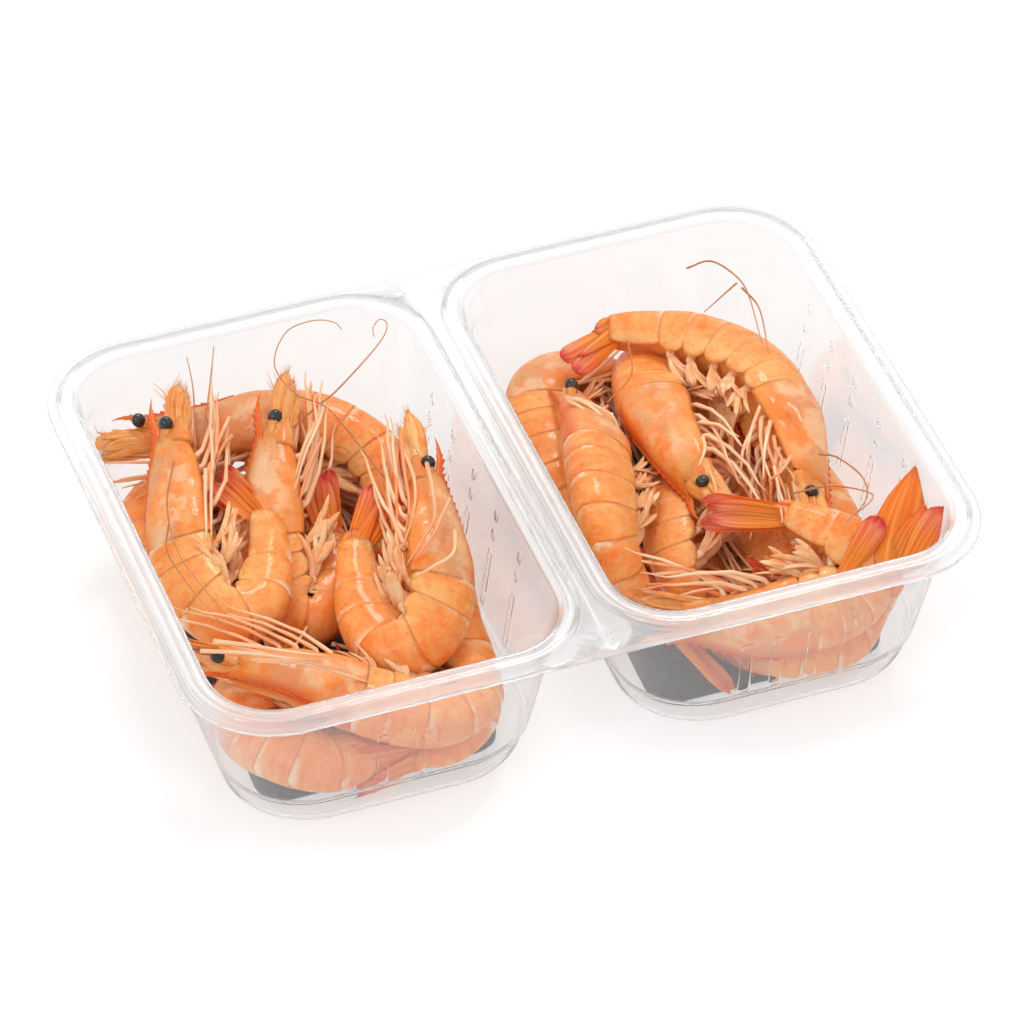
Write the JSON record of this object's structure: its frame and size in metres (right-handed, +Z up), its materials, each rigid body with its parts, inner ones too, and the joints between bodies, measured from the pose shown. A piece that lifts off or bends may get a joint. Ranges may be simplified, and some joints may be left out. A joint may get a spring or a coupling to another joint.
{
  "type": "twin tub food tray of cooked shrimp",
  "caption": "Clear twin tub plastic tray holding heaps of cooked head-on whiteleg shrimp on dark absorbent pads.",
  "frame": {"origin": "on the surface the tray stands on, under the middle of its rim", "axes": "+X along the long side with the second tub, +Y to the back edge, +Z up"},
  "size_m": [0.187, 0.138, 0.0445],
  "materials": {
    "clear_plastic": "clear thin formed sheet, glossy",
    "pad": "dark grey absorbent fleece, matte",
    "shrimp_shell": "moist cooked shell, orange over pale flesh"
  },
  "bodies": {
    "root": {"tray": "clear_plastic", "pad_left": "pad", "pad_right": "pad", "shrimp_left_1": "shrimp_shell", "shrimp_left_2": "shrimp_shell", "shrimp_left_3": "shrimp_shell", "shrimp_left_4": "shrimp_shell", "shrimp_left_5": "shrimp_shell", "shrimp_left_6": "shrimp_shell", "shrimp_left_7": "shrimp_shell", "shrimp_left_8": "shrimp_shell", "shrimp_right_1": "shrimp_shell", "shrimp_right_2": "shrimp_shell", "shrimp_right_3": "shrimp_shell", "shrimp_right_4": "shrimp_shell", "shrimp_right_5": "shrimp_shell", "shrimp_right_6": "shrimp_shell", "shrimp_right_7": "shrimp_shell", "shrimp_right_8": "shrimp_shell", "shrimp_right_9": "shrimp_shell"}
  },
  "joints": []
}
